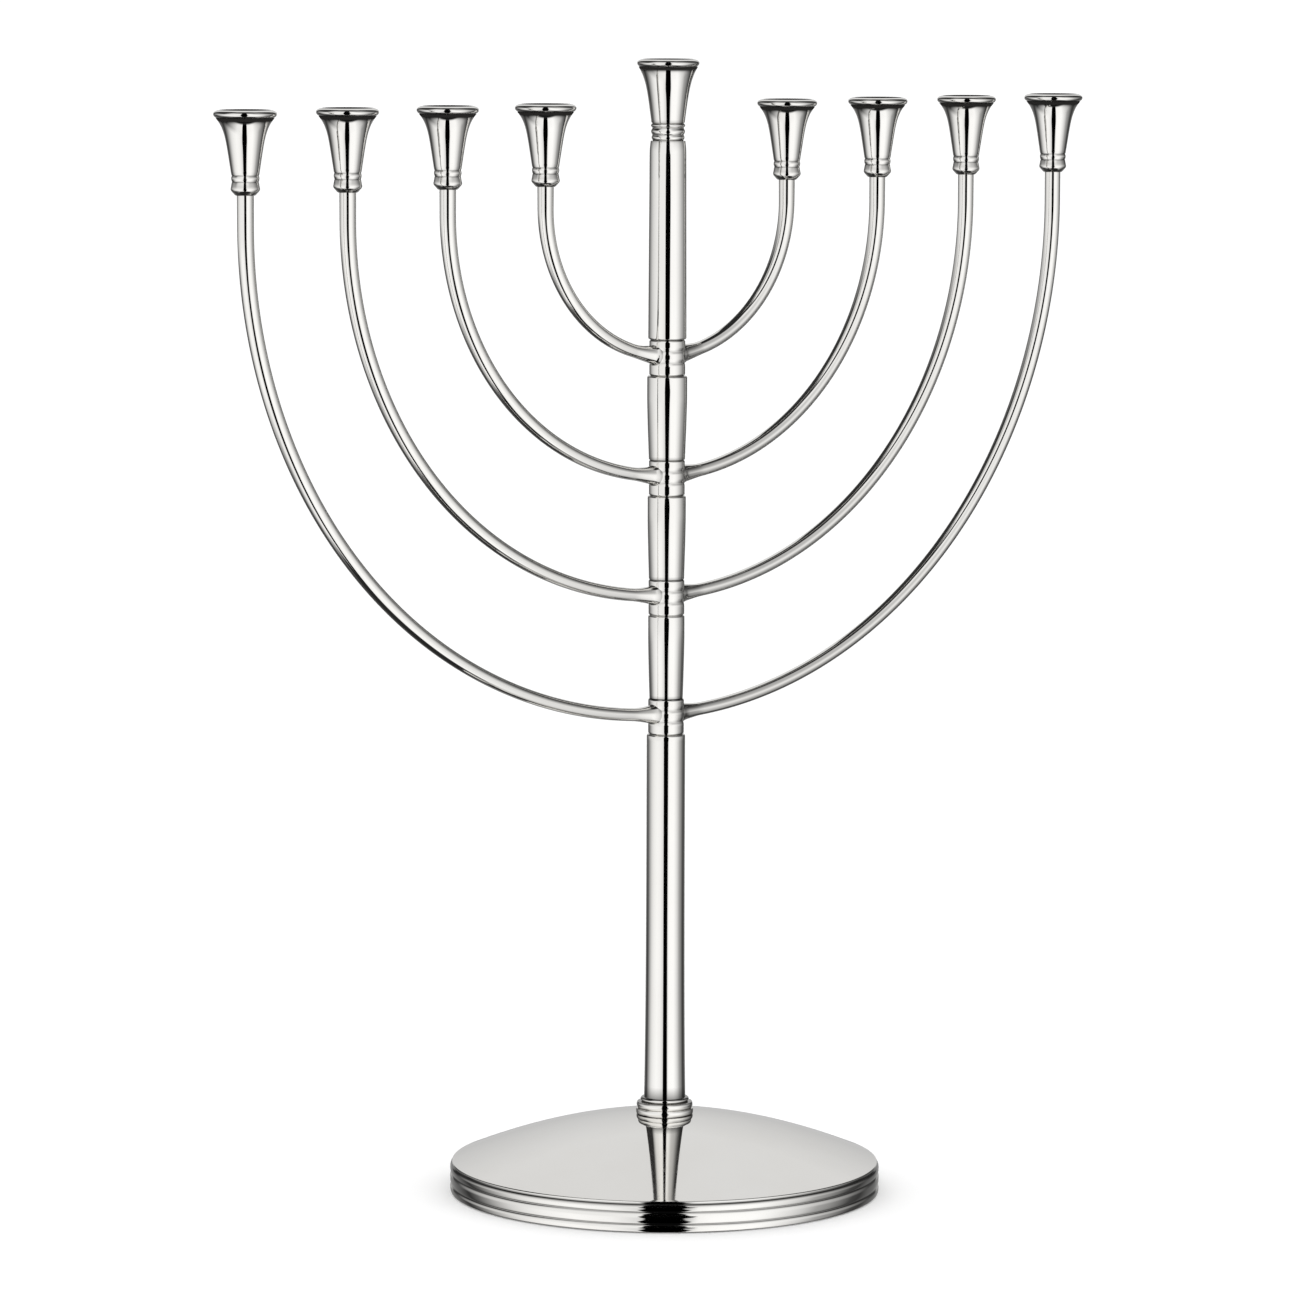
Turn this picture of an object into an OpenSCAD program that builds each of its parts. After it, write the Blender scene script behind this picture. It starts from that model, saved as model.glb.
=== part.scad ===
// Nine-branch menorah in turned, bent and spun metal. Millimetres, +Z up.
// The origin is the centre of the underside, and the branches lie along X.
// Branch 1 is the innermost and leaves the top knot; branch 4 is the outermost.

/* [Overall] */
// Height of the centre cup's rim
overall_h = 380; // [376:1:384]
// Height of the eight branch cups' rims
branch_rim_z = 366; // [362:1:370]

/* [Base] */
// Diameter across the reeded edge
base_d = 144.4; // [142:0.2:150]
// Height of the reeded edge's top
edge_z = 9.6; // [9:0.1:10]
// Height that the dome's curve aims at on the axis
dome_z = 26.7; // [26:0.1:28]
// Shape of the dome: 1 is a cone and 2 is a bowl
dome_power = 1.85; // [1.5:0.05:2]
// Thickness of the dome's sheet
dome_t = 1.2; // [1:0.1:1.5]
// Thickness of the felt
felt_t = 1.6; // [1:0.1:2]
// Gap between the metal edge and the table
edge_gap = 0.4; // [0.2:0.1:0.6]
// Thickness of the steel plate under the weight
plate_t = 1.5; // [1:0.1:2]
// Height of the cast weight
weight_h = 9; // [6:0.5:10]

/* [Stem] */
// Height of the top branch above the table
top_branch_z = 282; // [280:1:284]
// Height from one branch to the next
branch_step = 40; // [38:0.5:42]
// Height of a knot between its two parting lines
knot_h = 12; // [11:0.5:13]
// Widest diameter of a knot
knot_d = 12; // [11.8:0.1:12.2]
// How far a branch sits above its knot's middle
branch_rise = 0.8; // [0:0.1:1.2]
// Diameter of the long lower stem at its head
stem_d = 12.9; // [12.7:0.1:13.2]
// Diameter of the stem where it meets the foot collar
stem_foot_d = 13.9; // [13.5:0.1:14.4]
// Diameter of the upper stem at its foot
upper_d = 12.8; // [12.6:0.1:13]
// Diameter of the top short length at its head
length_d = 13.4; // [13.2:0.1:13.6]
// How much slimmer each short length is than the one above
length_step = 0.6; // [0.2:0.1:0.7]
// How much a short length tapers from its head to its foot
length_taper = 1.2; // [0.6:0.1:1.3]
// Bore of the stem tubes
tube_bore_d = 8.2; // [7.8:0.1:8.6]
// Widest diameter of the foot collar
collar_d = 18.9; // [18.5:0.1:20]
// Height of the foot collar
collar_h = 5.8; // [5.5:0.1:7]

/* [Branches] */
// Diameter of a branch
branch_d = 5; // [4.6:0.1:5.4]
// Reach of the innermost branch from the axis
first_reach = 50; // [48:1:52]
// Reach from one branch to the next
reach_step = 39; // [38:0.5:40]
// Diameter of a branch's flared root against the knot
root_d = 6.4; // [5.6:0.1:6.4]
// Distance from the axis at which the root's flare ends
root_reach = 10.4; // [9.5:0.1:12]

/* [Cups] */
// Rim diameter of a branch cup
cup_rim_d = 20.2; // [19.6:0.1:21]
// Neck diameter of a branch cup
cup_neck_d = 8.9; // [8.7:0.1:9.2]
// Height of a branch cup
cup_h = 27; // [26.5:0.1:27.5]
// Rim diameter of the centre cup
centre_rim_d = 20.7; // [20:0.1:21.5]
// Neck diameter of the centre cup
centre_neck_d = 11.1; // [10.8:0.1:11.4]
// Height of the centre cup
centre_cup_h = 27; // [26.5:0.1:27.5]
// Diameter of a candle seat
seat_d = 9.9; // [9.6:0.1:10]
// Depth of a candle seat below the rim
seat_depth = 12.5; // [10:0.5:13]

/* [Fastening] */
// Diameter of the tie rod through the stem, an M5 thread drawn plain
rod_d = 4.8; // [4.7:0.05:4.9]
// Diameter of the peg at each end of a branch
peg_d = 3.2; // [3:0.1:3.3]
// Gap all round a peg, spigot or rod in its hole
fit_gap = 0.05; // [0.04:0.01:0.08]
// Outer diameter of the clamp washer
washer_d = 18; // [15:1:19]
// Thickness of the clamp washer
washer_t = 1.5; // [1:0.1:2]
// Nut across its flats
nut_af = 8; // [8:0.1:8.5]
// Height of the nut
nut_h = 4; // [3.5:0.1:4.7]

/* [Hidden] */
$fn = 96;
eps = 0.01;
head_round = 0.6;               // rounding at the ends of the stem's parts

silver = "gainsboro";
steel = "slategray";

base_r = base_d / 2;
dome_edge_r = base_r - 0.6;     // the dome stops just inside the reeds
dome_edge_rise = 0.6;           // height of the dome's edge above the reeded ring
plate_r = base_r - 2.7;
plate_z = felt_t;
weight_z = plate_z + plate_t;

collar_r = collar_d / 2;
collar_z = dome_height(collar_r);
collar_spigot_r = 5;
stem_foot_z = collar_z + collar_h;
spigot_r = tube_bore_d / 2 - fit_gap;
spigot_h = 3;
rod_r = rod_d / 2;
rod_hole_r = rod_r + 2 * fit_gap;
thread_hole_r = rod_r + fit_gap;
centre_cup_z = overall_h - centre_cup_h;
rod_foot_z = collar_z - dome_t - washer_t - nut_h - 2;
rod_top_z = centre_cup_z + 7;

peg_r = peg_d / 2;
peg_hole_r = peg_r + fit_gap;
peg_h = 5;
peg_start = rod_hole_r + 0.8;   // inner end of a branch's side peg
cup_z = branch_rim_z - cup_h;

function branch_z(i) = top_branch_z - branch_step * (i - 1);
function knot_z(i) = branch_z(i) - branch_rise;
function reach(i) = first_reach + reach_step * (i - 1);

// Height of the dome's outer surface at radius r.
function dome_height(r) =
    dome_z - (dome_z - edge_z - dome_edge_rise) * pow(r / base_r, dome_power);

// A swelling band between two heights, as points up an outline.
function band(r, swell, z0, z1, steps = 8) = [
    for (i = [0 : steps]) let (t = i / steps) [r + swell * sin(180 * t), z0 + (z1 - z0) * t]
];

// An oval's outline about a centre, as points from angle a0 to angle a1.
function oval(cx, cz, rx, rz, a0, a1, steps = 8) = [
    for (i = [0 : steps]) let (a = a0 + (a1 - a0) * i / steps) [cx + rx * cos(a), cz + rz * sin(a)]
];

// The same for a circle.
function arc(cx, cz, r, a0, a1, steps = 8) = oval(cx, cz, r, r, a0, a1, steps);

module turned(outline) {
    rotate_extrude() polygon(outline);
}

// An upright cylinder, for solid posts and for holes.
module post(r, z0, z1) {
    translate([0, 0, z0]) cylinder(h = z1 - z0, r = r);
}

// ---------- base ----------

module felt_pad() {
    color("midnightblue") cylinder(h = felt_t, r = plate_r - 0.4);
}

module base_plate() {
    color(steel) translate([0, 0, plate_z]) cylinder(h = plate_t, r = plate_r);
}

module base_weight() {
    inner_r = 14;
    outer_r = 56;
    chamfer = 2;
    color("dimgray") translate([0, 0, weight_z]) turned([
        [inner_r, 0],
        [outer_r, 0],
        [outer_r, weight_h - chamfer],
        [outer_r - chamfer, weight_h],
        [inner_r, weight_h]
    ]);
}

// The reeded ring: three swelling bands outside and a ledge for the plate inside.
module base_rim() {
    swell = 0.5;
    reed_r = base_r - swell;
    groove = 0.12;
    low_z = edge_gap + 0.28 * (edge_z - edge_gap);
    high_z = edge_gap + 0.71 * (edge_z - edge_gap);
    color(silver) turned(concat(
        [[plate_r + 0.1, edge_gap]],
        band(reed_r, swell, edge_gap, low_z - groove),
        band(reed_r, swell, low_z + groove, high_z - groove),
        band(reed_r, swell, high_z + groove, edge_z),
        [
            [plate_r - 1.2, edge_z],
            [plate_r - 1.2, weight_z],
            [plate_r + 0.1, weight_z]
        ]
    ));
}

// The spun dome: flat under the collar, then a falling curve to a rounded edge.
module base_dome() {
    steps = 28;
    hole_r = collar_spigot_r + fit_gap;
    round_r = 0.45;
    last_r = dome_edge_r - round_r;
    radii = [for (i = [0 : steps]) collar_r + (last_r - collar_r) * i / steps];
    top = [for (r = radii) [r, dome_height(r)]];
    under = [for (i = [steps : -1 : 0]) [radii[i], max(edge_z, dome_height(radii[i]) - dome_t)]];
    color(silver) turned(concat(
        [[hole_r, collar_z]],
        top,
        arc(last_r, dome_height(last_r) - round_r, round_r, 80, 0, 5),
        [[dome_edge_r, edge_z]],
        under,
        [[hole_r, collar_z - dome_t]]
    ));
}

// ---------- fastening through the stem ----------

module clamp_washer() {
    z = collar_z - dome_t - washer_t;
    color(steel) difference() {
        translate([0, 0, z]) cylinder(h = washer_t, r = washer_d / 2);
        post(rod_hole_r, z - 1, z + washer_t + 1);
    }
}

module clamp_nut() {
    z = collar_z - dome_t - washer_t - nut_h;
    color(steel) difference() {
        translate([0, 0, z]) cylinder(h = nut_h, r = nut_af / 2 / cos(30), $fn = 6);
        post(thread_hole_r, z - 1, z + nut_h + 1);
    }
}

module tie_rod() {
    color(steel) post(rod_r, rod_foot_z, rod_top_z);
}

// ---------- stem ----------

// Foot collar: a spigot down into the dome, a soft band, and a ring under the stem.
module foot_collar() {
    ring_r = 8.35;
    band_h = 0.65 * collar_h;
    band_swell = 0.5;
    ring_swell = 0.5;
    color(silver) translate([0, 0, collar_z]) difference() {
        union() {
            post(collar_spigot_r, -dome_t, eps);
            turned(concat(
                [[0, 0]],
                band(collar_r - band_swell, band_swell, 0, band_h, 8),
                band(ring_r - ring_swell, ring_swell, band_h + 0.15, collar_h, 6),
                [[0, collar_h]]
            ));
            post(spigot_r, collar_h - eps, collar_h + spigot_h);
        }
        post(rod_hole_r, -dome_t - 1, collar_h + spigot_h + 1);
    }
}

// A stem tube from z0 to z1 with a bore, from its side's outline between two parting lines.
module stem_tube(z0, z1, side) {
    end_r = knot_d / 2 - 0.4;
    color(silver) difference() {
        turned(concat([[0, z0]], side, [[end_r, z1], [0, z1]]));
        post(tube_bore_d / 2, z0 - 1, z1 + 1);
    }
}

// A short length between two knots: full for a third of its height, then tapering down.
module stem_length(i) {
    z0 = knot_z(i + 1) + knot_h / 2;
    z1 = knot_z(i) - knot_h / 2;
    head_r = (length_d - length_step * (i - 1)) / 2;
    foot_r = head_r - length_taper / 2;
    full_z = z1 - (z1 - z0) / 3;
    stem_tube(z0, z1, concat(
        [[foot_r - 0.2, z0], [foot_r, z0 + 0.3], [head_r, full_z]],
        arc(head_r - head_round, z1 - head_round - 0.1, head_round, 0, 70, 4)
    ));
}

module lower_stem() {
    z0 = stem_foot_z;
    z1 = knot_z(4) - knot_h / 2;
    head_r = stem_d / 2;
    taper_h = 42;
    stem_tube(z0, z1, concat(
        [[stem_foot_d / 2, z0], [head_r, z0 + taper_h]],
        arc(head_r - head_round, z1 - head_round - 0.1, head_round, 0, 70, 4)
    ));
}

// The stem under the centre cup, drawn in a little at the neck.
module upper_stem() {
    z0 = knot_z(1) + knot_h / 2;
    foot_r = upper_d / 2;
    neck_r = foot_r - 0.25;
    draw_in = 2;
    color(silver) difference() {
        turned(concat(
            [[0, z0], [knot_d / 2 - 0.3, z0]],
            arc(foot_r - head_round, z0 + head_round + 0.1, head_round, -70, 0, 4),
            [[neck_r, centre_cup_z - draw_in], [neck_r - 0.4, centre_cup_z], [0, centre_cup_z]]
        ));
        post(tube_bore_d / 2, z0 - 1, centre_cup_z + 1);
    }
}

// A knot: three soft bands, a spigot at each end, and a blind socket on each side.
module knot(i) {
    z0 = -knot_h / 2;
    z1 = knot_h / 2;
    low_line = z0 + 0.37 * knot_h;
    high_line = z1 - 0.31 * knot_h;
    gap = 0.12;
    swell = 0.35;
    r = knot_d / 2 - swell;
    color(silver) translate([0, 0, knot_z(i)]) difference() {
        union() {
            turned(concat(
                [[0, z0]],
                band(r, swell, z0, low_line - gap),
                band(r, swell, low_line + gap, high_line - gap),
                band(r, swell, high_line + gap, z1),
                [[0, z1]]
            ));
            post(spigot_r, z0 - spigot_h, z1 + spigot_h);
        }
        post(rod_hole_r, z0 - spigot_h - 1, z1 + spigot_h + 1);
        for (side = [-90, 90])
            translate([0, 0, branch_rise]) rotate([0, side, 0]) post(peg_hole_r, peg_start, knot_d);
    }
}

// ---------- cups ----------

// A trumpet cup: a bevelled foot, a bead, a flaring wall, a rounded lip and a sunk candle
// seat. From neck_rise above its foot the wall widens by spread in step with its height and
// sweeps out the rest of the way to the rim. The rim is at z = 0 and the foot at z = -h.
module candle_cup(h, rim_r, neck_r, foot_r, neck_rise, spread, power, hole_r, hole_h) {
    neck_z = -h + neck_rise;
    lip_z = -1.8;
    lip_w = 0.25 * rim_r;
    lip_h = 1.3;
    crest_r = rim_r - lip_w;
    sweep = rim_r - neck_r - spread;
    steps = 14;
    color(silver) difference() {
        turned(concat(
            [[0, -h], [foot_r, -h], [0.98 * neck_r, -h + 0.95]],
            [[1.05 * neck_r, -h + 1.7], [0.94 * neck_r, -h + 3.7]],
            band(0.96 * neck_r, 0.06 * neck_r, -h + 3.9, -h + 5.6, 6),
            [for (i = [0 : steps]) let (t = 0.955 * sqrt(i / steps))
                [neck_r + spread * t + sweep * pow(t, power), neck_z + (lip_z - neck_z) * t]],
            oval(crest_r, -lip_h, lip_w, 1.2 * lip_h, -40, 0, 4),
            oval(crest_r, -lip_h, lip_w, lip_h, 11, 90),
            [[seat_d / 2 + 1.5, -0.9], [seat_d / 2 + 0.3, -1.7], [0, -1.7]]
        ));
        post(seat_d / 2, -seat_depth, 1);
        post(hole_r, -h - 1, -h + hole_h);
    }
}

module branch_cup(side, i) {
    neck_r = cup_neck_d / 2;
    translate([side * reach(i), 0, branch_rim_z]) candle_cup(
        h = cup_h,
        rim_r = cup_rim_d / 2,
        neck_r = neck_r,
        foot_r = 0.66 * neck_r,
        neck_rise = 6.6,
        spread = 2.85,
        power = 6,
        hole_r = peg_hole_r,
        hole_h = peg_h + 1
    );
}

module centre_cup() {
    neck_r = centre_neck_d / 2;
    translate([0, 0, overall_h]) candle_cup(
        h = centre_cup_h,
        rim_r = centre_rim_d / 2,
        neck_r = neck_r,
        foot_r = 0.92 * neck_r,
        neck_rise = 6,
        spread = 2.55,
        power = 4.7,
        hole_r = thread_hole_r,
        hole_h = 8
    );
    color(silver) translate([0, 0, centre_cup_z]) difference() {
        post(spigot_r, -spigot_h, eps);
        post(thread_hole_r, -spigot_h - 1, 1);
    }
}

// ---------- branches ----------

// A quarter circle from the knot out to a short upright, with a flared root and two pegs.
module branch(side, i) {
    r = reach(i);
    z = branch_z(i);
    clear_r = knot_d / 2 + fit_gap;
    color(silver) mirror([side < 0 ? 1 : 0, 0, 0]) {
        difference() {
            union() {
                translate([0, 0, z + r]) rotate([90, 0, 0]) rotate([0, 0, -90])
                    rotate_extrude(angle = 90) translate([r, 0]) circle(r = branch_d / 2);
                translate([r, 0, 0]) post(branch_d / 2, z + r, cup_z);
                branch_root(r, z);
            }
            post(clear_r, z - 10, z + 10);
        }
        translate([0, 0, z]) rotate([0, 90, 0]) post(peg_r, peg_start + fit_gap, clear_r + 1);
        translate([r, 0, 0]) post(peg_r, cup_z - eps, cup_z + peg_h);
    }
}

// The flare where a branch meets its knot, laid along the branch's curve.
module branch_root(r, z) {
    inner_x = 4.7;
    root_angle = asin((inner_x + root_reach) / 2 / r);
    length = root_reach - inner_x;
    translate([0, 0, z + r]) rotate([0, -root_angle, 0]) translate([-length / 2, 0, -r])
        rotate([0, 90, 0]) cylinder(h = length, r1 = root_d / 2, r2 = branch_d / 2);
}

felt_pad();
base_plate();
base_weight();
base_rim();
base_dome();
clamp_washer();
clamp_nut();
tie_rod();
foot_collar();
lower_stem();
upper_stem();
centre_cup();

for (i = [1 : 4]) {
    knot(i);
    branch(-1, i);
    branch(1, i);
    branch_cup(-1, i);
    branch_cup(1, i);
}

for (i = [1 : 3])
    stem_length(i);
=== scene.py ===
"""A silver-plated menorah on a pale studio floor, in metres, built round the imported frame."""
import math

import bmesh
import bpy
from mathutils import Matrix, Vector


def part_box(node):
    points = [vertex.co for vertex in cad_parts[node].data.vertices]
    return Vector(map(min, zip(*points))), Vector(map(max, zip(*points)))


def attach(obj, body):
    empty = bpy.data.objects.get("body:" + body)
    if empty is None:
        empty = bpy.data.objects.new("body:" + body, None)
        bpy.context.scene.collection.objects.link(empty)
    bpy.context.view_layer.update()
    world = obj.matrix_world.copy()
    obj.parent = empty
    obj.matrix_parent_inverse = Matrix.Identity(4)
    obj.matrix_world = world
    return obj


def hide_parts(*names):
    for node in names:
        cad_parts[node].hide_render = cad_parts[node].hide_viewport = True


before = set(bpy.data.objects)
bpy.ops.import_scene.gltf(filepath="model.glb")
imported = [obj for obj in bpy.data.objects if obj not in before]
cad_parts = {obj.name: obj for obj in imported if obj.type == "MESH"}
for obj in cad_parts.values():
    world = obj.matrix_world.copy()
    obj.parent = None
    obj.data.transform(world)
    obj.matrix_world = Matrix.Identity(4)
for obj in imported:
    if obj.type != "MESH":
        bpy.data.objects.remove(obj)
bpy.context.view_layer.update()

MM = 0.001
SIDES = {"left": -1, "right": 1}
SPIGOT = 3 * MM       # how far a spigot reaches into the next stem part
SEAT_R = 4.95 * MM    # radius of a candle seat
SEAT_DEPTH = 12.5 * MM

PARTING = 0.3 * MM    # half-width of a parting line between two turned parts
STRONG_LINE = 0.7     # painted shade in a parting line that shows dark in the photograph
FAINT_LINE = 0.35     # painted shade in one that hardly shows
LENGTH_TAPERS = (0.65 * MM, 0.5 * MM, 0.5 * MM)    # the stem lengths, from the top one down

# The photograph's viewpoint: turned towards the left branches, a little above the object.
CAMERA_TURN = math.radians(37.0)
CAMERA_DISTANCE = 2.128
CAMERA_HEIGHT = 0.4312
CAMERA_AIM_HEIGHT = 0.185
CAMERA_AIM_LEFT = 0.0071
CAMERA_ROLL = math.radians(0.18)
CAMERA_LENS = 179.0

RING_STEPS = 160      # facets round a turned piece
BRANCH_SIDES = 48     # facets round a branch
BRANCH_RINGS = 120    # rings along a branch


# ---------- outlines ----------

def oval(centre_r, centre_z, wide, tall, start, end, steps=8):
    """Points on an oval of the half-widths given, from start to end in degrees."""
    angles = [math.radians(start + (end - start) * i / steps) for i in range(steps + 1)]
    return [(centre_r + wide * math.cos(a), centre_z + tall * math.sin(a)) for a in angles]


def arc(centre_r, centre_z, radius, start, end, steps=8):
    """Points on a circle, from start to end in degrees."""
    return oval(centre_r, centre_z, radius, radius, start, end, steps)


def band(r, swell, z0, z1, steps=14, fullness=1.0):
    """A swelling band between two heights. A fullness over 1 squares it up."""
    ts = [i / steps for i in range(steps + 1)]
    return [(r + swell * math.sin(math.pi * t) ** (1 / fullness), z0 + (z1 - z0) * t) for t in ts]


def span(node):
    """Radius, lowest and highest height, and centre x of a turned node."""
    low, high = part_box(node)
    return (high.y - low.y) / 2, low.z, high.z, (high.x + low.x) / 2


# ---------- meshes ----------

def add_object(name, bm, material, replaced):
    """Turns a bmesh into a smooth-shaded piece that stands for the CAD nodes named."""
    bmesh.ops.recalc_face_normals(bm, faces=bm.faces)
    mesh = bpy.data.meshes.new(name)
    bm.to_mesh(mesh)
    bm.free()
    mesh.shade_smooth()
    mesh.set_sharp_from_angle(angle=math.radians(38))
    mesh.materials.append(material)
    piece = bpy.data.objects.new(name, mesh)
    bpy.context.scene.collection.objects.link(piece)
    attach(piece, "root")
    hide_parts(*replaced)
    return piece


def lathe(name, outline, node, material, centre_x=0.0, painted_shade_at=None):
    """Turns a closed outline about an upright axis. Its last argument, a function of r and z, gives
    the painted shade, 0 to 1.
    """
    bm = bmesh.new()
    layer = bm.verts.layers.float.new("painted_shade")
    rings = []
    for i in range(RING_STEPS):
        angle = 2 * math.pi * i / RING_STEPS
        ring = []
        for r, z in outline:
            vert = bm.verts.new((centre_x + r * math.cos(angle), r * math.sin(angle), z))
            vert[layer] = painted_shade_at(r, z) if painted_shade_at else 0.0
            ring.append(vert)
        rings.append(ring)
    for i, ring in enumerate(rings):
        after = rings[(i + 1) % RING_STEPS]
        for j in range(len(outline)):
            k = (j + 1) % len(outline)
            bm.faces.new((ring[j], after[j], after[k], ring[k]))
    bmesh.ops.remove_doubles(bm, verts=bm.verts, dist=1e-7)
    add_object(name, bm, material, [node])


def near(z, heights, width):
    """How close a height is to any of the groove heights, 0 to 1."""
    return max(math.exp(-((z - h) / width) ** 2) for h in heights)


# ---------- materials ----------

def new_material(name):
    material = bpy.data.materials.new(name)
    material.use_nodes = True
    shader = material.node_tree.nodes["Principled BSDF"]
    return material, material.node_tree, shader


def noise(tree, coordinate, scale, detail, stretch=(1, 1, 1)):
    """A noise texture over the piece's own coordinates, and its output."""
    mapping = tree.nodes.new("ShaderNodeMapping")
    mapping.inputs["Scale"].default_value = stretch
    texture = tree.nodes.new("ShaderNodeTexNoise")
    texture.inputs["Scale"].default_value = scale
    texture.inputs["Detail"].default_value = detail
    tree.links.new(coordinate, mapping.inputs["Vector"])
    tree.links.new(mapping.outputs["Vector"], texture.inputs["Vector"])
    return texture.outputs["Fac"]


def remap(tree, value, low, high, start=0.3, end=0.7):
    node = tree.nodes.new("ShaderNodeMapRange")
    node.inputs["From Min"].default_value = start
    node.inputs["From Max"].default_value = end
    node.inputs["To Min"].default_value = low
    node.inputs["To Max"].default_value = high
    tree.links.new(value, node.inputs["Value"])
    return node.outputs["Result"]


def calculate(tree, operation, *values):
    node = tree.nodes.new("ShaderNodeMath")
    node.operation = operation
    for socket, value in zip(node.inputs, values):
        if isinstance(value, (int, float)):
            socket.default_value = value
        else:
            tree.links.new(value, socket)
    return node.outputs[0]


def mix_colour(tree, factor, first, second):
    """A colour mix. Each of first and second is a colour or a node's output."""
    node = tree.nodes.new("ShaderNodeMix")
    node.data_type = "RGBA"
    tree.links.new(factor, node.inputs["Factor"])
    for name, value in (("A", first), ("B", second)):
        socket = next(s for s in node.inputs if s.name == name and s.type == "RGBA")
        if isinstance(value, tuple):
            socket.default_value = (*value, 1)
        else:
            tree.links.new(value, socket)
    return next(s for s in node.outputs if s.type == "RGBA")


def add_bump(tree, shader, height, strength, distance):
    bump = tree.nodes.new("ShaderNodeBump")
    bump.inputs["Strength"].default_value = strength
    bump.inputs["Distance"].default_value = distance
    tree.links.new(height, bump.inputs["Height"])
    tree.links.new(bump.outputs["Normal"], shader.inputs["Normal"])


def silver_material():
    """Polished plate: warm clouding, faint smears in the gloss, and painted shade, near-black and
    without shine, in the grooves, parting lines and hollows.

    The specular level is linked, so that the painted shade loses its shine, and the export drops it.
    """
    material, tree, shader = new_material("polished_silver")
    place = tree.nodes.new("ShaderNodeTexCoord").outputs["Object"]
    cloud = remap(tree, noise(tree, place, 35, 3), 0, 1)
    clean = mix_colour(tree, cloud, (0.935, 0.925, 0.90), (0.91, 0.895, 0.865))
    painted_shade = tree.nodes.new("ShaderNodeAttribute")
    painted_shade.attribute_name = "painted_shade"
    # Painted shade: the vertex attribute turns the plate near-black in grooves, parting lines, hollows
    # and under the lips.
    colour = mix_colour(tree, painted_shade.outputs["Fac"], clean, (0.02, 0.019, 0.018))
    tree.links.new(colour, shader.inputs["Base Color"])
    gloss = remap(tree, painted_shade.outputs["Fac"], 1, 0, 0.9, 1)
    tree.links.new(gloss, shader.inputs["Metallic"])
    tree.links.new(calculate(tree, "MULTIPLY", gloss, 0.5), shader.inputs["Specular IOR Level"])
    smears = remap(tree, noise(tree, place, 90, 5, (1, 1, 0.35)), 0.025, 0.06)
    tree.links.new(smears, shader.inputs["Roughness"])
    polish_lines = noise(tree, place, 900, 2, (0.15, 0.15, 1))
    add_bump(tree, shader, polish_lines, 0.02, 0.00005)
    return material


def steel_material():
    """Zinc-plated steel, with a brushed grain."""
    material, tree, shader = new_material("plain_steel")
    shader.inputs["Metallic"].default_value = 1.0
    place = tree.nodes.new("ShaderNodeTexCoord").outputs["Object"]
    grain = noise(tree, place, 1500, 4, (1, 0.05, 1))
    colour = mix_colour(tree, remap(tree, grain, 0, 1), (0.50, 0.51, 0.52), (0.62, 0.63, 0.64))
    tree.links.new(colour, shader.inputs["Base Color"])
    tree.links.new(remap(tree, grain, 0.28, 0.42), shader.inputs["Roughness"])
    add_bump(tree, shader, grain, 0.15, 0.0001)
    return material


def iron_material():
    """Rough grey casting."""
    material, tree, shader = new_material("cast_iron")
    shader.inputs["Metallic"].default_value = 0.8
    place = tree.nodes.new("ShaderNodeTexCoord").outputs["Object"]
    pits = noise(tree, place, 420, 8)
    colour = mix_colour(tree, remap(tree, pits, 0, 1), (0.07, 0.07, 0.075), (0.16, 0.155, 0.15))
    tree.links.new(colour, shader.inputs["Base Color"])
    tree.links.new(remap(tree, pits, 0.5, 0.75), shader.inputs["Roughness"])
    add_bump(tree, shader, pits, 0.6, 0.0006)
    return material


def felt_material():
    """Dark pressed wool, with matted fibres and a soft sheen."""
    material, tree, shader = new_material("felt")
    place = tree.nodes.new("ShaderNodeTexCoord").outputs["Object"]
    fibres = noise(tree, place, 1400, 8)
    matting = noise(tree, place, 160, 4)
    tint = mix_colour(tree, remap(tree, matting, 0, 1), (0.020, 0.024, 0.045), (0.04, 0.047, 0.08))
    colour = mix_colour(tree, remap(tree, fibres, 0, 1, 0.45, 0.75), tint, (0.10, 0.11, 0.16))
    tree.links.new(colour, shader.inputs["Base Color"])
    shader.inputs["Roughness"].default_value = 0.95
    shader.inputs["Sheen Weight"].default_value = 0.35
    shader.inputs["Sheen Roughness"].default_value = 0.5
    add_bump(tree, shader, fibres, 0.7, 0.0003)
    return material


SILVER = silver_material()
STEEL = steel_material()
IRON = iron_material()
FELT = felt_material()


# ---------- base ----------

def make_dome():
    """The spun sheet of the base, from the collar out to its rolled edge."""
    edge_r, edge_z, top_z, _ = span("base_dome")
    collar_r = span("foot_collar")[0]
    full_r = edge_r + 0.6 * MM
    crown_z = top_z + 0.38 * MM
    edge_rise = 0.6 * MM
    power = 1.85
    roll = 0.45 * MM
    sheet = 1.2 * MM
    steps = 90

    def height(r):
        return crown_z - (crown_z - edge_z - edge_rise) * (r / full_r) ** power

    inner_r = collar_r - 3 * MM
    last_r = edge_r - roll
    radii = [inner_r + (last_r - inner_r) * i / steps for i in range(steps + 1)]
    top = [(r, min(height(r), top_z)) for r in radii]
    edge = arc(last_r, height(last_r) - roll, roll, 72, 0, 8)
    under = [(r, max(edge_z, height(r) - sheet)) for r in reversed(radii)]
    outline = top + edge + [(edge_r, edge_z)] + under

    # Painted shade: near-black under the rolled edge, where the dome tucks into the reeded edge.
    def painted_shade_at(r, z):
        return 0.9 * (r > last_r and z < edge_z + 0.3 * MM)

    lathe("dome", outline, "base_dome", SILVER, painted_shade_at=painted_shade_at)


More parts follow.
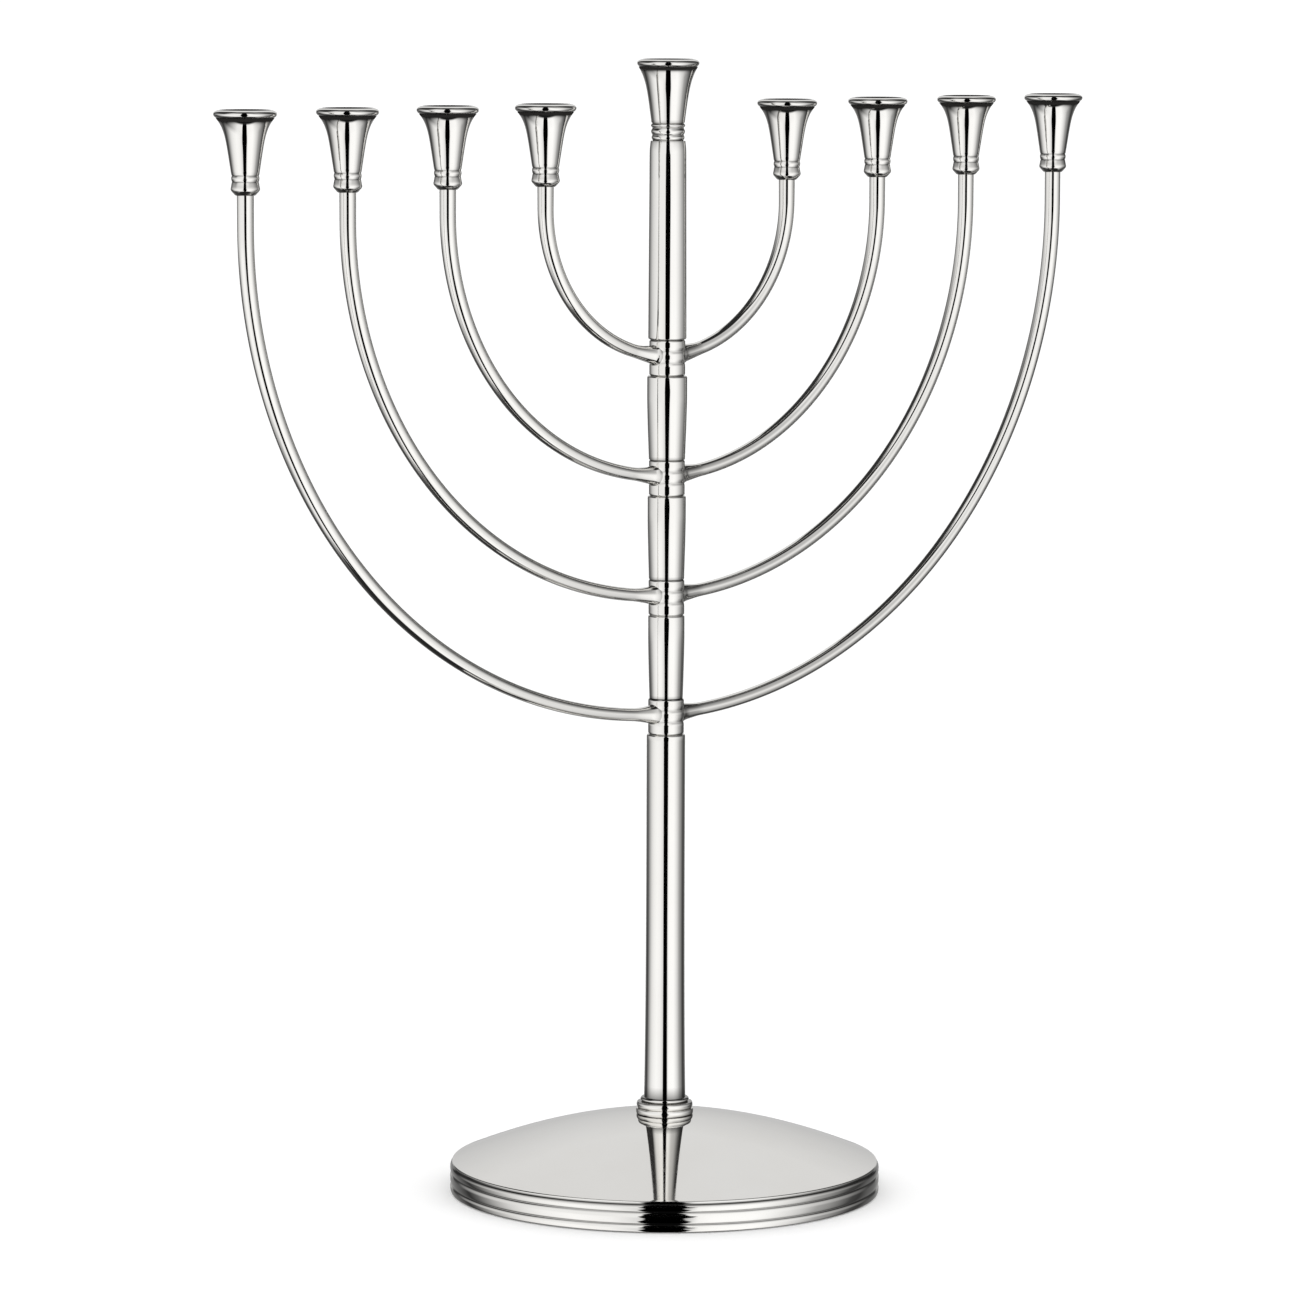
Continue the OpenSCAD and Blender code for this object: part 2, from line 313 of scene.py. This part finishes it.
def make_reeded_edge():
    """The ring of three swelling bands round the dome's edge."""
    edge_r, low, high, _ = span("base_rim")
    swell = 0.35 * MM
    groove = 0.12 * MM
    height = high - low
    first = low + 0.28 * height
    second = low + 0.71 * height
    r = edge_r - swell
    inner_r = edge_r - 3.9 * MM
    outline = (
        [(inner_r, low)]
        + band(r, swell, low, first - groove, 18, fullness=2.4)
        + band(r, swell, first + groove, second - groove, 18, fullness=2.4)
        + band(r, swell, second + groove, high, 18, fullness=2.4)
        + [(inner_r, high)]
    )

    # Painted shade in the two grooves between the reeds, and heavier painted shade along the top,
    # where the reeds meet the dome's edge.
    def painted_shade_at(r, z):
        grooves = 0.6 * near(z, (first, second), 0.35 * MM)
        return max(grooves, 0.95 * near(z, (high,), 0.55 * MM)) * (r > inner_r)

    lathe("reeded_edge", outline, "base_rim", SILVER, painted_shade_at=painted_shade_at)


def make_felt():
    """The felt disc under the base, with a soft, slightly uneven cut edge."""
    radius, low, high, _ = span("felt_pad")
    edge = 0.5 * MM
    outline = [(0, low), (radius - edge, low)]
    outline += arc(radius - edge, low + edge, edge, -70, 0, 6)
    outline += arc(radius - edge, high - edge, edge, 0, 70, 6)
    outline += [(radius - edge, high), (0, high)]
    bm = bmesh.new()
    steps = 240
    rings = []
    for i in range(steps):
        angle = 2 * math.pi * i / steps
        waver = 1 + 0.0012 * math.sin(7 * angle) + 0.0009 * math.sin(17 * angle + 1)
        rings.append([
            bm.verts.new((r * waver * math.cos(angle), r * waver * math.sin(angle), z))
            for r, z in outline
        ])
    for i, ring in enumerate(rings):
        after = rings[(i + 1) % steps]
        for j in range(len(outline) - 1):
            bm.faces.new((ring[j], after[j], after[j + 1], ring[j + 1]))
    bmesh.ops.remove_doubles(bm, verts=bm.verts, dist=1e-7)
    felt = add_object("felt_disc", bm, FELT, ["felt_pad"])


# ---------- stem ----------

def make_collar():
    """The foot collar: two full bands, the lower one wider, and a ring above them."""
    low = span("base_dome")[2]
    high = span("lower_stem")[1]
    radius = span("foot_collar")[0]
    swell = 0.5 * MM
    first = low + 0.37 * (high - low)
    second = low + 0.74 * (high - low)
    cove = 0.12 * MM
    outline = (
        [(0, low)]
        + band(radius - 0.25 * MM, swell, low, first, 20, fullness=3.5)
        + band(radius - 0.55 * MM, swell, first, second, 20, fullness=3.5)
        + band(radius - 1.8 * MM, swell, second + cove, high, 18, fullness=1.5)
        + [(0, high)]
    )

    # Painted shade in the parting lines at the collar's foot, under its top ring and at its head.
    def painted_shade_at(r, z):
        return STRONG_LINE * near(z, (low, second, high), 0.25 * MM)

    lathe("collar", outline, "foot_collar", SILVER, painted_shade_at=painted_shade_at)


def painted_shade_at_ends(low, high):
    """Painted shade in the parting lines at the ends of a stem part, most of it at its foot."""
    def painted_shade_at(r, z):
        foot_line = STRONG_LINE * near(z, (low,), PARTING)
        return max(foot_line, FAINT_LINE * near(z, (high,), PARTING))
    return painted_shade_at


def crisp_head(head_r, high, groove_r):
    """The upper edge of a stem part, barely rounded, and the parting line over it."""
    edge = 0.55 * MM
    return arc(head_r - edge, high - edge - 0.08 * MM, edge, 0, 75, 8) + [(groove_r, high)]


def make_length(i, taper, groove_r):
    """A short stem length: full at its head, then narrowing towards its foot."""
    node = f"stem_length_{i}"
    head_r, low, high, _ = span(node)
    foot_r = head_r - taper
    full = 0.72 * (high - low)
    steps = 20
    side = []
    for k in range(steps + 1):
        t = k / steps
        side.append((foot_r + taper * (1 - (1 - t) ** 1.3), low + 0.2 * MM + full * t))
    outline = (
        [(0, low), (foot_r - 0.25 * MM, low)] + side + crisp_head(head_r, high, groove_r) + [(0, high)]
    )
    lathe(f"{node}_turned", outline, node, SILVER, painted_shade_at=painted_shade_at_ends(low, high))


def make_lower_stem(groove_r):
    """The long lower stem, which thickens towards its foot."""
    foot_r, low, high, _ = span("lower_stem")
    head_r = foot_r - 0.5 * MM
    steps = 30
    taper = high - low - 2 * MM
    side = []
    for i in range(steps + 1):
        t = i / steps
        side.append((head_r + (foot_r - head_r) * (1 - t) ** 4.2, low + taper * t))
    outline = [(0, low)] + side + crisp_head(head_r, high, groove_r) + [(0, high)]
    lathe("lower_stem_turned", outline, "lower_stem", SILVER, painted_shade_at=painted_shade_at_ends(low, high))


def make_upper_stem(groove_r):
    """The stem above the top knot, which narrows a little and draws in under the cup."""
    foot_r, low, high, _ = span("upper_stem")
    foot = 0.6 * MM
    neck_r = foot_r - 0.28 * MM
    draw_in = 4.5 * MM
    steps = 10
    neck = []
    for i in range(steps + 1):
        t = i / steps
        neck.append((neck_r - 0.35 * MM * t * t, high - draw_in * (1 - t)))
    outline = (
        [(0, low), (groove_r, low)]
        + arc(foot_r - foot, low + foot + 0.1 * MM, foot, -70, 0, 8)
        + neck
        + [(0, high)]
    )
    lathe("upper_stem_turned", outline, "upper_stem", SILVER, painted_shade_at=painted_shade_at_ends(low, high))


def make_knot(i):
    """A knot with two soft valleys between its parting lines."""
    radius, low, high, _ = span(f"knot_{i}")
    low += SPIGOT
    high -= SPIGOT
    ends = (low, high)
    valleys = (low + 0.37 * (high - low), high - 0.31 * (high - low))
    steps = 72
    outline = [(0, low)]
    for k in range(steps + 1):
        z = low + (high - low) * k / steps
        dip = 0.22 * MM * near(z, valleys, 0.6 * MM)
        outline.append((radius - dip - 0.4 * MM * near(z, ends, PARTING), z))
    outline.append((0, high))

    # Painted shade in the parting lines at the knot's ends, darkest at its head, and a little in its
    # two valleys.
    def painted_shade_at(r, z):
        return max(
            STRONG_LINE * near(z, (high,), PARTING),
            FAINT_LINE * near(z, (low,), PARTING),
            0.25 * near(z, valleys, 0.35 * MM),
        )

    lathe(f"knot_{i}_turned", outline, f"knot_{i}", SILVER, painted_shade_at=painted_shade_at)


# ---------- cups ----------

# A cup's foot, as shares of the neck's radius against millimetres above the foot, and the
# heights of the lines between its tiers.
BRANCH_FOOT = (
    [(0.66, 0), (0.74, 0.15), (0.99, 1.4), (1.04, 1.8), (1.045, 2.2), (1.01, 2.9)]
    + [(0.97, 4.0), (0.94, 4.3)]
    + band(0.955, 0.05, 4.45, 6.3, 12)
)
BRANCH_LINES = (0, 2.7, 4.35, 6.35)
CENTRE_FOOT = (
    [(0.92, 0), (0.93, 0.35)]
    + band(0.945, 0.045, 0.45, 1.85, 10)
    + band(0.94, 0.08, 2.1, 4.2, 12)
    + band(0.94, 0.09, 4.4, 5.9, 12)
)
CENTRE_LINES = (0.2, 2.0, 4.3, 5.95)


def make_cup(node, low, foot, lines, neck_r, neck_rise, spread, power):
    """A trumpet cup: foot, flaring wall, oval lip and the sunk candle seat.

    From neck_rise above its foot the wall widens by spread in step with its height, and
    sweeps out the rest of the way to the rim by the power given.
    """
    rim_r, _, high, centre_x = span(node)
    lip_wide = 0.25 * rim_r
    lip_tall = 1.3 * MM
    crest_r = rim_r - lip_wide
    lip_mid = high - lip_tall
    neck_z = low + neck_rise
    lip_z = high - 1.8 * MM
    sweep = rim_r - neck_r - spread
    steps = 60
    flare = []
    for i in range(steps + 1):
        t = 0.955 * (i / steps) ** 0.7
        flare.append((neck_r + spread * t + sweep * t ** power, neck_z + (lip_z - neck_z) * t))
    crease_r, crease_z = flare[-1]
    outline = (
        [(0, low)]
        + [(share * neck_r, low + above * MM) for share, above in foot]
        + flare
        + [(crease_r - 0.15 * MM, crease_z + 0.15 * MM)]
        + oval(crest_r, lip_mid, lip_wide, 1.2 * lip_tall, -40, 0, 8)
        + oval(crest_r, lip_mid, lip_wide, lip_tall, 8, 90, 14)
        + [(crest_r - 0.3 * MM, high - 0.15 * MM), (crest_r - 0.8 * MM, high - 0.8 * MM)]
        + [(SEAT_R + 0.4 * MM, high - 1.5 * MM), (SEAT_R, high - 2.1 * MM)]
        + [(SEAT_R, high - SEAT_DEPTH), (0, high - SEAT_DEPTH)]
    )
    heights = [low + above * MM for above in lines]

    # Painted shade: near-black in the mouth and the candle seat, a painted dark reflection under the
    # lip, and painted shade in the lines between the foot's tiers.
    def painted_shade_at(r, z):
        in_mouth = r < crest_r + 0.3 * lip_wide and z > high - 1.6 * MM
        in_seat = r < SEAT_R + 0.5 * MM and z > high - SEAT_DEPTH - MM
        if in_mouth or in_seat:
            return 1.0
        undercut = min(1.0, 1.5 * near(z, (high - 3.0 * MM,), 0.75 * MM))
        return max(undercut, 0.5 * near(z, heights, 0.2 * MM))

    lathe(f"{node}_turned", outline, node, SILVER, centre_x, painted_shade_at)


# ---------- branches ----------

def knot_axis(i):
    """Height at which branch i leaves its knot, a little over the knot's middle."""
    _, low, high, _ = span(f"knot_{i}")
    return (low + high) / 2 + 0.8 * MM


def make_branch(side, i):
    """A bent branch: flared at the knot, slim at first and a little thicker at the cup."""
    node = f"branch_{side}_{i}"
    sign = SIDES[side]
    cup_low, cup_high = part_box(f"cup_{side}_{i}")
    reach = abs(cup_low.x + cup_high.x) / 2
    foot_z = cup_low.z
    base_z = knot_axis(i)
    slim_r, thick_r = 2.15 * MM, 2.7 * MM
    root_swell = 1.33 * MM
    flare_length = 9.7 * MM
    start_x = 4.2 * MM
    fillet = 0.45 * MM
    start = math.asin(start_x / reach)
    bend = reach * (math.pi / 2 - start)
    upright = foot_z + 0.2 * MM - base_z - reach
    total = bend + upright

    def place(s):
        """Position and heading on the centre line, s metres from the root."""
        if s < bend:
            a = start + s / reach
            return reach * math.sin(a), base_z + reach * (1 - math.cos(a)), a
        return reach, base_z + reach + s - bend, math.pi / 2

    def thickness(s):
        r = slim_r + (thick_r - slim_r) * s / total
        if s < flare_length:
            r += root_swell * (1 - s / flare_length) ** 1.5
        return r + fillet * min(1, math.exp((1.4 * MM - s) / fillet))

    bm = bmesh.new()
    layer = bm.verts.layers.float.new("painted_shade")
    rings = []
    for k in range(BRANCH_RINGS + 1):
        s = total * (k / BRANCH_RINGS) ** 1.25
        x, z, a = place(s)
        r = thickness(s)
        ring = []
        for j in range(BRANCH_SIDES):
            b = 2 * math.pi * j / BRANCH_SIDES
            out = r * math.cos(b)
            vert = bm.verts.new((
                sign * (x - out * math.sin(a)),
                r * math.sin(b),
                z + out * math.cos(a),
            ))
            # Painted shade where the branch leaves its knot.
            vert[layer] = 0.5 * math.exp(-(s / (1.6 * MM)) ** 2)
            ring.append(vert)
        rings.append(ring)
    for first, second in zip(rings, rings[1:]):
        for j in range(BRANCH_SIDES):
            k = (j + 1) % BRANCH_SIDES
            bm.faces.new((first[j], first[k], second[k], second[j]))
    bm.faces.new(rings[0])
    bm.faces.new(rings[-1])
    add_object(f"branch_{side}_{i}_bent", bm, SILVER, [node])


groove_r = span("knot_1")[0] - 0.4 * MM

make_dome()
make_reeded_edge()
make_felt()
make_collar()
make_lower_stem(groove_r)
make_upper_stem(groove_r)
for i, taper in enumerate(LENGTH_TAPERS, start=1):
    make_length(i, taper, groove_r)
for i in range(1, 5):
    make_knot(i)
    for side in SIDES:
        make_branch(side, i)
        cup = f"cup_{side}_{i}"
        make_cup(
            cup, low=span(cup)[1], foot=BRANCH_FOOT, lines=BRANCH_LINES,
            neck_r=4.47 * MM, neck_rise=6.7 * MM, spread=2.85 * MM, power=6,
        )
make_cup(
    "centre_cup", low=span("centre_cup")[1] + SPIGOT, foot=CENTRE_FOOT, lines=CENTRE_LINES,
    neck_r=5.55 * MM, neck_rise=6.1 * MM, spread=2.55 * MM, power=4.7,
)

for node, material in (
    ("base_plate", STEEL), ("clamp_washer", STEEL), ("clamp_nut", STEEL),
    ("tie_rod", STEEL), ("base_weight", IRON),
):
    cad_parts[node].data.materials.clear()
    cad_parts[node].data.materials.append(material)


# ---------- studio ----------

def make_floor():
    """A plain pale floor, a hair above the felt's underside so the two faces never meet."""
    mesh = bpy.data.meshes.new("floor")
    size = 12
    lift = 0.05 * MM
    corners = [(-size, -size), (size, -size), (size, size), (-size, size)]
    corners = [(x, y, lift) for x, y in corners]
    mesh.from_pydata(corners, [], [(0, 1, 2, 3)])
    floor = bpy.data.objects.new("floor", mesh)
    bpy.context.scene.collection.objects.link(floor)
    material, _, shader = new_material("pale_floor")
    shader.inputs["Base Color"].default_value = (0.95, 0.95, 0.95, 1)
    shader.inputs["Roughness"].default_value = 0.9
    shader.inputs["Specular IOR Level"].default_value = 0.0
    shader.inputs["Emission Color"].default_value = (1, 1, 1, 1)
    shader.inputs["Emission Strength"].default_value = 0.08
    mesh.materials.append(material)
    floor.visible_glossy = False


def wall(tree, around, stops):
    """Greys all the way round the tent, from stops of (angle in degrees, brightness)."""
    node = tree.nodes.new("ShaderNodeValToRGB")
    elements = node.color_ramp.elements
    elements.remove(elements[-1])
    for i, (angle, grey) in enumerate(stops):
        position = 0.5 + angle / 360
        element = elements.new(position) if i else elements[0]
        element.position = position
        element.color = (grey, grey, grey, 1)
    tree.links.new(around, node.inputs["Fac"])
    return node.outputs["Color"]


def lens_slot(tree, tent, heading, z):
    """Cuts the black slot for the lens.

    Each stop is a height against the slot's left and right edges in degrees. They were set
    from the width of the dark line measured on the photograph's stem and reeds.
    """
    stops = [
        (-0.60, 13, 13), (-0.42, 14, 14), (-0.30, 10.5, 10.5), (-0.22, 9.8, 9.8),
        (-0.17, 9.8, 9.8), (-0.13, 12, 14), (-0.05, 13, 17), (0.0, 11, 13), (0.1, 10.5, 11),
    ]
    ramp = tree.nodes.new("ShaderNodeValToRGB")
    elements = ramp.color_ramp.elements
    elements.remove(elements[-1])
    for i, (height, left, right) in enumerate(stops):
        position = 0.5 + height / 2
        element = elements.new(position) if i else elements[0]
        element.position = position
        element.color = (math.radians(left), math.radians(right), 0, 1)
    tree.links.new(calculate(tree, "MULTIPLY_ADD", z, 0.5, 0.5), ramp.inputs["Fac"])
    edges = tree.nodes.new("ShaderNodeSeparateColor")
    tree.links.new(ramp.outputs["Color"], edges.inputs["Color"])
    soft = math.radians(1.5)
    mirrored = calculate(tree, "MULTIPLY", heading, -1.0)
    beyond_left = calculate(tree, "SUBTRACT", mirrored, edges.outputs[0])
    beyond_right = calculate(tree, "SUBTRACT", heading, edges.outputs[1])
    beyond = calculate(tree, "MAXIMUM", beyond_left, beyond_right)
    return mix_colour(tree, remap(tree, beyond, 0, 1, 0, soft), (0.0, 0.0, 0.0), tent)


def make_studio():
    """A light tent seen only by reflections: everything else sees even white light.

    Its walls are bright in front and dark at the back corners, with a grey panel straight
    behind. It is dark straight up and down, and the lens looks in through a black slot.
    Each list gives brightness against the angle round from the lens, towards the right
    branches, in degrees.

    The numbers aren't a free design. table and level were worked out from the photograph's
    own greys, which a measuring script printed at set angles round the reeded edge and across
    the lower stem: made linear, divided by the metal's reflectance and rounded. high leans on
    greys sampled on the branches and the dome, and below was set one by one. Some stops were
    then changed. They suit the photograph's viewpoint only.
    """
    below = [
        (-180, 0.30), (-168, 0.20), (-160, 0.05), (-110, 0.05), (-90, 0.30), (-60, 0.70),
        (-45, 0.90), (0, 0.97), (50, 1.05),
        (70, 0.80), (90, 0.55), (110, 0.20), (125, 0.05), (154, 0.05), (161, 0.20),
        (180, 0.30),
    ]
    table = [
        (-180, 0.40), (-161, 0.22), (-150, 0.14), (-140, 0.09), (-130, 0.03), (-120, 0.12),
        (-110, 0.29), (-100, 0.50), (-90, 0.72), (-80, 0.86), (-70, 0.95), (-50, 1.04),
        (-30, 0.98), (-13, 0.75), (-10, 0.45), (10, 0.40),
        (18, 1.0), (25, 1.07), (50, 1.07), (60, 0.96), (70, 0.81), (80, 0.63), (90, 0.38),
        (100, 0.29), (110, 0.17), (120, 0.06), (130, 0.04), (140, 0.10), (154, 0.15),
        (180, 0.40),
    ]
    level = [
        (-180, 0.56), (-161, 0.56), (-154, 0.05), (-145, 0.06), (-135, 0.22), (-122, 0.38),
        (-111, 0.56), (-102, 0.68), (-85, 0.81), (-63, 0.91), (-14, 0.90), (18, 1.0),
        (26, 1.05), (48, 1.05), (57, 1.0), (70, 0.87), (85, 0.65),
        (102, 0.42), (122, 0.18), (140, 0.06), (154, 0.05), (161, 0.56), (180, 0.56),
    ]
    high = [
        (-180, 0.74), (-160, 0.74), (-157, 0.03), (-85, 0.03), (-70, 0.55), (-60, 0.76),
        (-30, 0.92), (25, 0.92), (45, 0.58), (68, 0.45), (78, 0.34),
        (90, 0.20), (103, 0.09), (117, 0.03), (157, 0.03), (160, 0.74), (180, 0.74),
    ]
    world = bpy.data.worlds.new("studio")
    bpy.context.scene.world = world
    world.use_nodes = True
    tree = world.node_tree
    background = tree.nodes["Background"]
    direction = tree.nodes.new("ShaderNodeTexCoord").outputs["Generated"]
    turn = tree.nodes.new("ShaderNodeVectorRotate")
    turn.rotation_type = "Z_AXIS"
    turn.inputs["Angle"].default_value = CAMERA_TURN
    tree.links.new(direction, turn.inputs["Vector"])
    parts = tree.nodes.new("ShaderNodeSeparateXYZ")
    tree.links.new(turn.outputs["Vector"], parts.inputs["Vector"])
    x, y, z = parts.outputs
    heading = calculate(tree, "ARCTAN2", x, calculate(tree, "MULTIPLY", y, -1.0))
    around = calculate(tree, "ADD", calculate(tree, "DIVIDE", heading, 2 * math.pi), 0.5)
    tent = wall(tree, around, below)
    levels = ((table, -0.66, -0.52), (level, -0.16, -0.09), (high, 0.03, 0.50))
    for stops, start, end in levels:
        tent = mix_colour(tree, remap(tree, z, 0, 1, start, end), tent, wall(tree, around, stops))
    tent = lens_slot(tree, tent, heading, z)
    steepness = calculate(tree, "ABSOLUTE", z)
    tent = mix_colour(tree, remap(tree, steepness, 0, 1, 0.86, 0.91), tent, (0.02, 0.02, 0.02))
    path = tree.nodes.new("ShaderNodeLightPath")
    colour = mix_colour(tree, path.outputs["Is Glossy Ray"], (1.06, 1.06, 1.06), tent)
    tree.links.new(colour, background.inputs["Color"])
    bpy.context.scene.view_settings.view_transform = "Standard"


def make_camera():
    data = bpy.data.cameras.new("camera")
    data.lens = CAMERA_LENS
    data.sensor_width = 36
    data.clip_end = 60
    camera = bpy.data.objects.new("camera", data)
    bpy.context.scene.collection.objects.link(camera)
    towards = Vector((math.sin(CAMERA_TURN), math.cos(CAMERA_TURN), 0))
    left = Vector((-math.cos(CAMERA_TURN), math.sin(CAMERA_TURN), 0))
    place = -CAMERA_DISTANCE * towards + Vector((0, 0, CAMERA_HEIGHT))
    aim = CAMERA_AIM_LEFT * left + Vector((0, 0, CAMERA_AIM_HEIGHT))
    camera.location = place
    heading = (aim - place).to_track_quat("-Z", "Y").to_matrix()
    camera.rotation_euler = (heading @ Matrix.Rotation(CAMERA_ROLL, 3, "Z")).to_euler()
    bpy.context.scene.camera = camera


make_floor()
make_studio()
make_camera()
